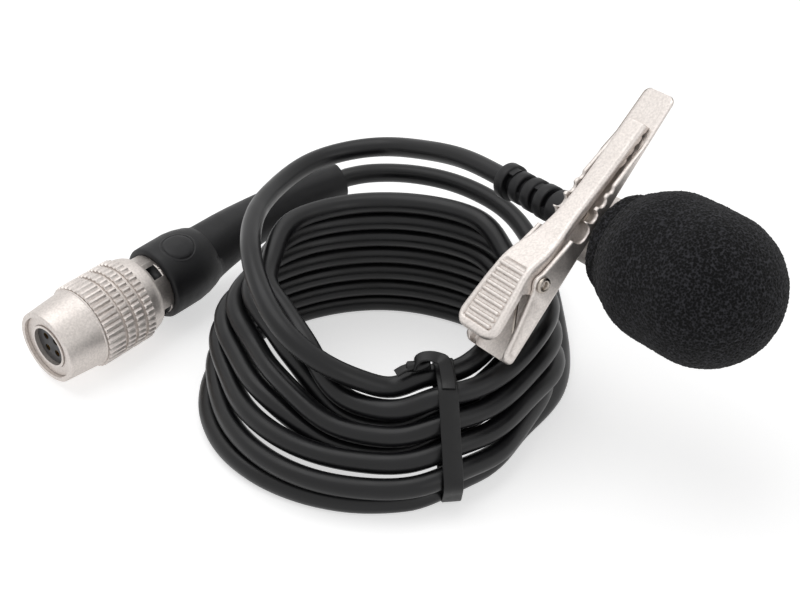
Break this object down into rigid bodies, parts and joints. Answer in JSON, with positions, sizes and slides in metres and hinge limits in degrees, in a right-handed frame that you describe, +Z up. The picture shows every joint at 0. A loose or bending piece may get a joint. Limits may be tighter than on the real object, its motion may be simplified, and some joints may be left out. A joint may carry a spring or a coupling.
{
  "type": "lavalier microphone",
  "caption": "Clip-on lavalier microphone with a foam windscreen, a sprung tie clip, a tied coil of cable and a push-pull multi-pin plug.",
  "frame": {"origin": "middle of the coil's bottom turn, on the surface the coil lies on", "axes": "+Z up, away from that surface; the plug lies on the -X side, the microphone and its clip on the +X side, and -Y is the side with the tie"},
  "size_m": [0.0945, 0.0627, 0.041],
  "materials": {
    "foam": "open-cell foam, matt",
    "black_metal": "satin black paint",
    "clip_steel": "satin champagne plating",
    "pin_steel": "satin",
    "spring_steel": "drawn wire",
    "plug_nickel": "satin nickel",
    "plug_dark": "moulded insert",
    "cable_jacket": "soft matt jacket",
    "boot_rubber": "soft matt",
    "disc_rubber": "soft matt",
    "tie_vinyl": "soft vinyl",
    "capsule_metal": "bright can",
    "gasket_rubber": "matt",
    "board_green": "solder mask",
    "wire_red": "insulated wire",
    "wire_blue": "insulated wire",
    "gold": "gold flash"
  },
  "bodies": {
    "body": {"mic_barrel": "black_metal", "mic_grille": "black_metal", "mic_rear_cap": "black_metal", "mic_capsule": "capsule_metal", "capsule_gasket": "gasket_rubber", "capsule_board": "board_green", "mic_leads": "wire_red", "strain_relief": "boot_rubber", "mic_holder": "clip_steel", "holder_rivet": "pin_steel", "clip_rear_jaw": "clip_steel", "clip_pin": "pin_steel", "clip_spring": "spring_steel", "cord_mic_end": "cable_jacket", "cord_coil": "cable_jacket", "cord_plug_end": "cable_jacket", "tie_strap": "tie_vinyl", "tie_knot": "tie_vinyl", "boot_tail": "boot_rubber", "connector_boot": "boot_rubber", "boot_disc": "disc_rubber", "cable_clamp": "pin_steel", "cable_end": "cable_jacket", "connector_shell": "plug_nickel", "sleeve_spring": "spring_steel", "snap_ring": "spring_steel", "shield_ring": "plug_nickel", "contact_insert": "plug_dark", "contacts": "gold", "contact_leads": "wire_blue"},
    "front_jaw": {"clip_front_jaw": "clip_steel"},
    "sleeve": {"coupling_sleeve": "plug_nickel"},
    "windscreen": {"windscreen": "foam"}
  },
  "joints": [
    {"name": "jaw_hinge", "type": "hinge", "parent": "body", "child": "front_jaw", "pos_m": [0.01782, -0.00587, 0.02441], "axis": [0.5985, -0.7943, 0.1045], "range_deg": [0, 14], "stiffness_Nm_per_rad": 0.05, "springref_deg": -8.59, "deforming": ["clip_spring"]},
    {"name": "sleeve_slide", "type": "slide", "parent": "body", "child": "sleeve", "axis": [0.6818, 0.7311, 0.0262], "range_m": [0, 0.0015], "stiffness_N_per_m": 300, "springref_m": -0.001, "deforming": ["sleeve_spring"]},
    {"name": "windscreen_pull", "type": "slide", "parent": "body", "child": "windscreen", "axis": [0.5985, -0.7943, 0.1045], "range_m": [0, 0.015]}
  ]
}
